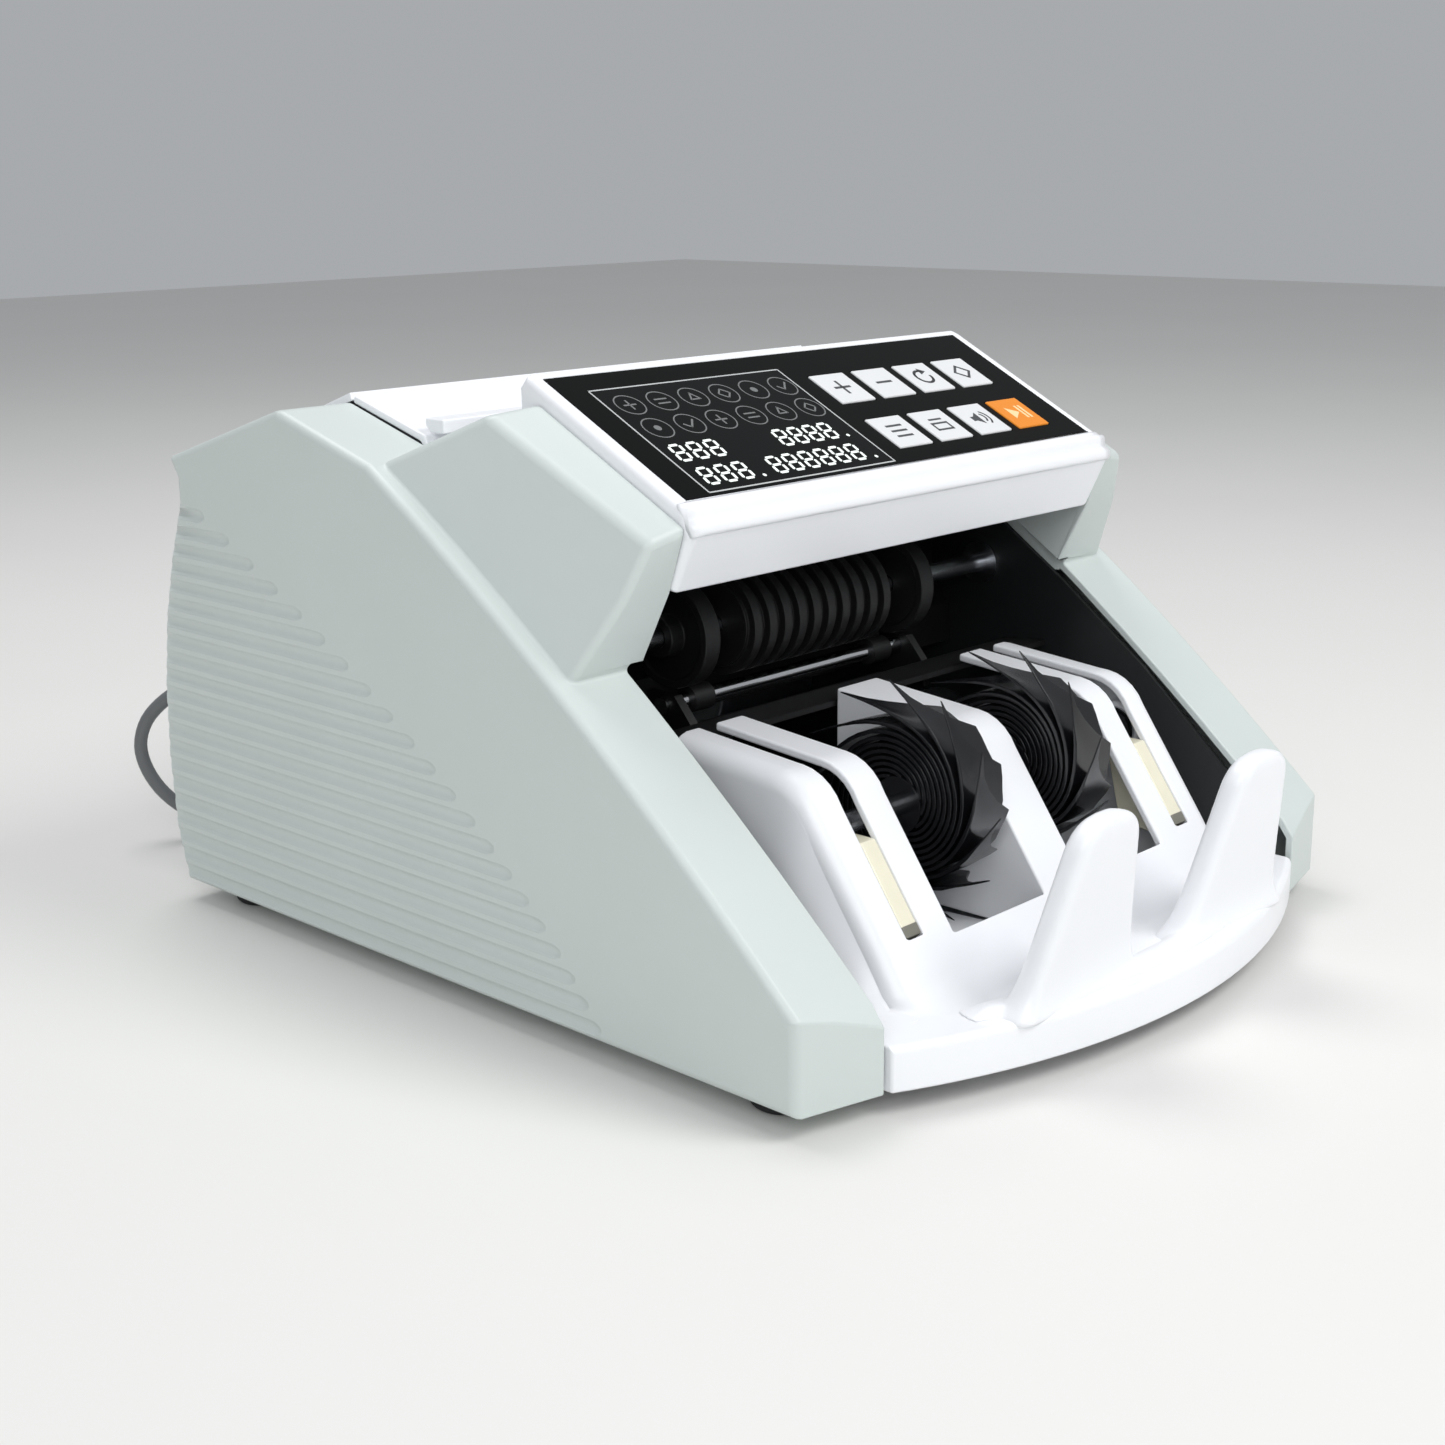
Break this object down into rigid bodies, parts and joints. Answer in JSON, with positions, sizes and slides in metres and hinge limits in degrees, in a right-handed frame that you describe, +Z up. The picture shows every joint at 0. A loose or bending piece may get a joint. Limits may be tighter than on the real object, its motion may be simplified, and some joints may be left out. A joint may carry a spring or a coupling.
{
  "type": "banknote counter",
  "caption": "Tabletop banknote counter with a sloping key panel, feed rollers under the head, spiral stacking wheels and a curved delivery tray with upright note stops.",
  "frame": {"origin": "on the resting surface, under the middle of the machine without its mains lead", "axes": "+Z up, front of the machine towards -Y, +X to the right seen from the front"},
  "size_m": [0.245, 0.3857, 0.1694],
  "materials": {
    "white": "satin moulded white",
    "casing": "satin pale grey-green",
    "chassis_steel": "zinc plated",
    "chassis_black": "satin black",
    "guide_black": "fine moulded grain",
    "overlay": "satin printed film",
    "display": "smoked",
    "board": "solder mask",
    "key_pale": "satin",
    "key_orange": "satin",
    "acrylic": "cast clear cream",
    "bright_steel": "ground",
    "chrome": "polished",
    "roller_rubber": "matt",
    "wheel_rubber": "glossy moulded",
    "motor_metal": "plated",
    "pulley_black": "satin",
    "belt": "matt",
    "switch_black": "satin",
    "foot_rubber": "matt",
    "lead_grey": "satin sheath"
  },
  "bodies": {
    "chassis": {"head_cover": "white", "hopper_plate": "white", "rear_cover": "white", "feed_gate_bar": "white", "stacker_cover": "white", "stacker_posts": "white", "left_side_casing": "casing", "right_side_casing": "casing", "base_pan": "chassis_steel", "tie_rods": "chassis_steel", "left_chassis_plate": "chassis_black", "right_chassis_plate": "chassis_black", "head_underside": "guide_black", "front_guide_plate": "guide_black", "rear_guide_plate": "guide_black", "retard_block": "guide_black", "control_overlay": "overlay", "display_module": "display", "control_board": "board", "main_board": "board", "light_guides": "acrylic", "shaft_bearings": "bright_steel", "casing_screws": "bright_steel", "main_motor": "motor_metal", "wheel_motor": "motor_metal", "transformer": "motor_metal", "main_belt": "belt", "pickup_belt": "belt", "wheel_belt": "belt", "switch_housing": "switch_black", "rubber_feet": "foot_rubber", "strain_relief": "lead_grey", "mains_lead": "lead_grey", "lead_coil": "lead_grey", "mains_plug": "lead_grey"},
    "feed_rollers": {"feed_shaft": "bright_steel", "feed_roller": "roller_rubber", "feed_discs": "roller_rubber", "feed_pulley": "pulley_black"},
    "pickup_set": {"pickup_shaft": "bright_steel", "pickup_rollers": "roller_rubber", "pickup_pulley": "pulley_black"},
    "pinch_set": {"pinch_rod": "chrome", "pinch_rollers": "roller_rubber"},
    "stacking_wheels": {"wheel_shaft": "bright_steel", "left_stacking_wheel": "wheel_rubber", "right_stacking_wheel": "wheel_rubber", "wheel_pulley": "pulley_black"},
    "main_motor_rotor": {"motor_pulley": "pulley_black"},
    "wheel_motor_rotor": {"wheel_motor_pulley": "pulley_black"},
    "gap_screw": {"gap_knob": "guide_black"},
    "rocker": {"power_rocker": "switch_black"},
    "key_add_pad": {"key_add": "key_pale"},
    "key_verify_pad": {"key_verify": "key_pale"},
    "key_mode_pad": {"key_mode": "key_pale"},
    "key_value_pad": {"key_value": "key_pale"},
    "key_sum_pad": {"key_sum": "key_pale"},
    "key_batch_pad": {"key_batch": "key_pale"},
    "key_sound_pad": {"key_sound": "key_pale"},
    "key_start_pad": {"key_start": "key_orange"}
  },
  "joints": [
    {"name": "feed_spin", "type": "hinge", "parent": "chassis", "child": "feed_rollers", "pos_m": [0, -0.004, 0.094], "axis": [1, 0, 0], "continuous": true},
    {"name": "pickup_spin", "type": "hinge", "parent": "chassis", "child": "pickup_set", "pos_m": [0, 0.03, 0.126], "axis": [1, 0, 0], "continuous": true},
    {"name": "pinch_spin", "type": "hinge", "parent": "chassis", "child": "pinch_set", "pos_m": [0, -0.0045, 0.074], "axis": [1, 0, 0], "continuous": true},
    {"name": "main_motor_spin", "type": "hinge", "parent": "chassis", "child": "main_motor_rotor", "pos_m": [0.1, 0.09, 0.046], "axis": [1, 0, 0], "continuous": true},
    {"name": "wheel_spin", "type": "hinge", "parent": "chassis", "child": "stacking_wheels", "pos_m": [0, -0.074, 0.0545], "axis": [1, 0, 0], "continuous": true},
    {"name": "wheel_motor_spin", "type": "hinge", "parent": "chassis", "child": "wheel_motor_rotor", "pos_m": [0.068, 0.01, 0.034], "axis": [1, 0, 0], "continuous": true},
    {"name": "gap_turn", "type": "hinge", "parent": "chassis", "child": "gap_screw", "pos_m": [0, 0.0165, 0.151], "axis": [0, 0, 1], "range_deg": [-170, 170]},
    {"name": "power_tip", "type": "hinge", "parent": "chassis", "child": "rocker", "pos_m": [-0.052, 0.138, 0.046], "axis": [1, 0, 0], "range_deg": [-16, 0]},
    {"name": "key_add_press", "type": "slide", "parent": "chassis", "child": "key_add_pad", "axis": [0, 0.454, -0.891], "range_m": [0, 0.0005], "stiffness_N_per_m": 500},
    {"name": "key_verify_press", "type": "slide", "parent": "chassis", "child": "key_verify_pad", "axis": [0, 0.454, -0.891], "range_m": [0, 0.0005], "stiffness_N_per_m": 500},
    {"name": "key_mode_press", "type": "slide", "parent": "chassis", "child": "key_mode_pad", "axis": [0, 0.454, -0.891], "range_m": [0, 0.0005], "stiffness_N_per_m": 500},
    {"name": "key_value_press", "type": "slide", "parent": "chassis", "child": "key_value_pad", "axis": [0, 0.454, -0.891], "range_m": [0, 0.0005], "stiffness_N_per_m": 500},
    {"name": "key_sum_press", "type": "slide", "parent": "chassis", "child": "key_sum_pad", "axis": [0, 0.454, -0.891], "range_m": [0, 0.0005], "stiffness_N_per_m": 500},
    {"name": "key_batch_press", "type": "slide", "parent": "chassis", "child": "key_batch_pad", "axis": [0, 0.454, -0.891], "range_m": [0, 0.0005], "stiffness_N_per_m": 500},
    {"name": "key_sound_press", "type": "slide", "parent": "chassis", "child": "key_sound_pad", "axis": [0, 0.454, -0.891], "range_m": [0, 0.0005], "stiffness_N_per_m": 500},
    {"name": "key_start_press", "type": "slide", "parent": "chassis", "child": "key_start_pad", "axis": [0, 0.454, -0.891], "range_m": [0, 0.0005], "stiffness_N_per_m": 500}
  ],
  "couplings": [
    {"joint": "pickup_spin", "follows": "feed_spin", "ratio": 1},
    {"joint": "pinch_spin", "follows": "feed_spin", "ratio": -3.875},
    {"joint": "main_motor_spin", "follows": "feed_spin", "ratio": 1.5},
    {"joint": "wheel_motor_spin", "follows": "wheel_spin", "ratio": 1}
  ]
}
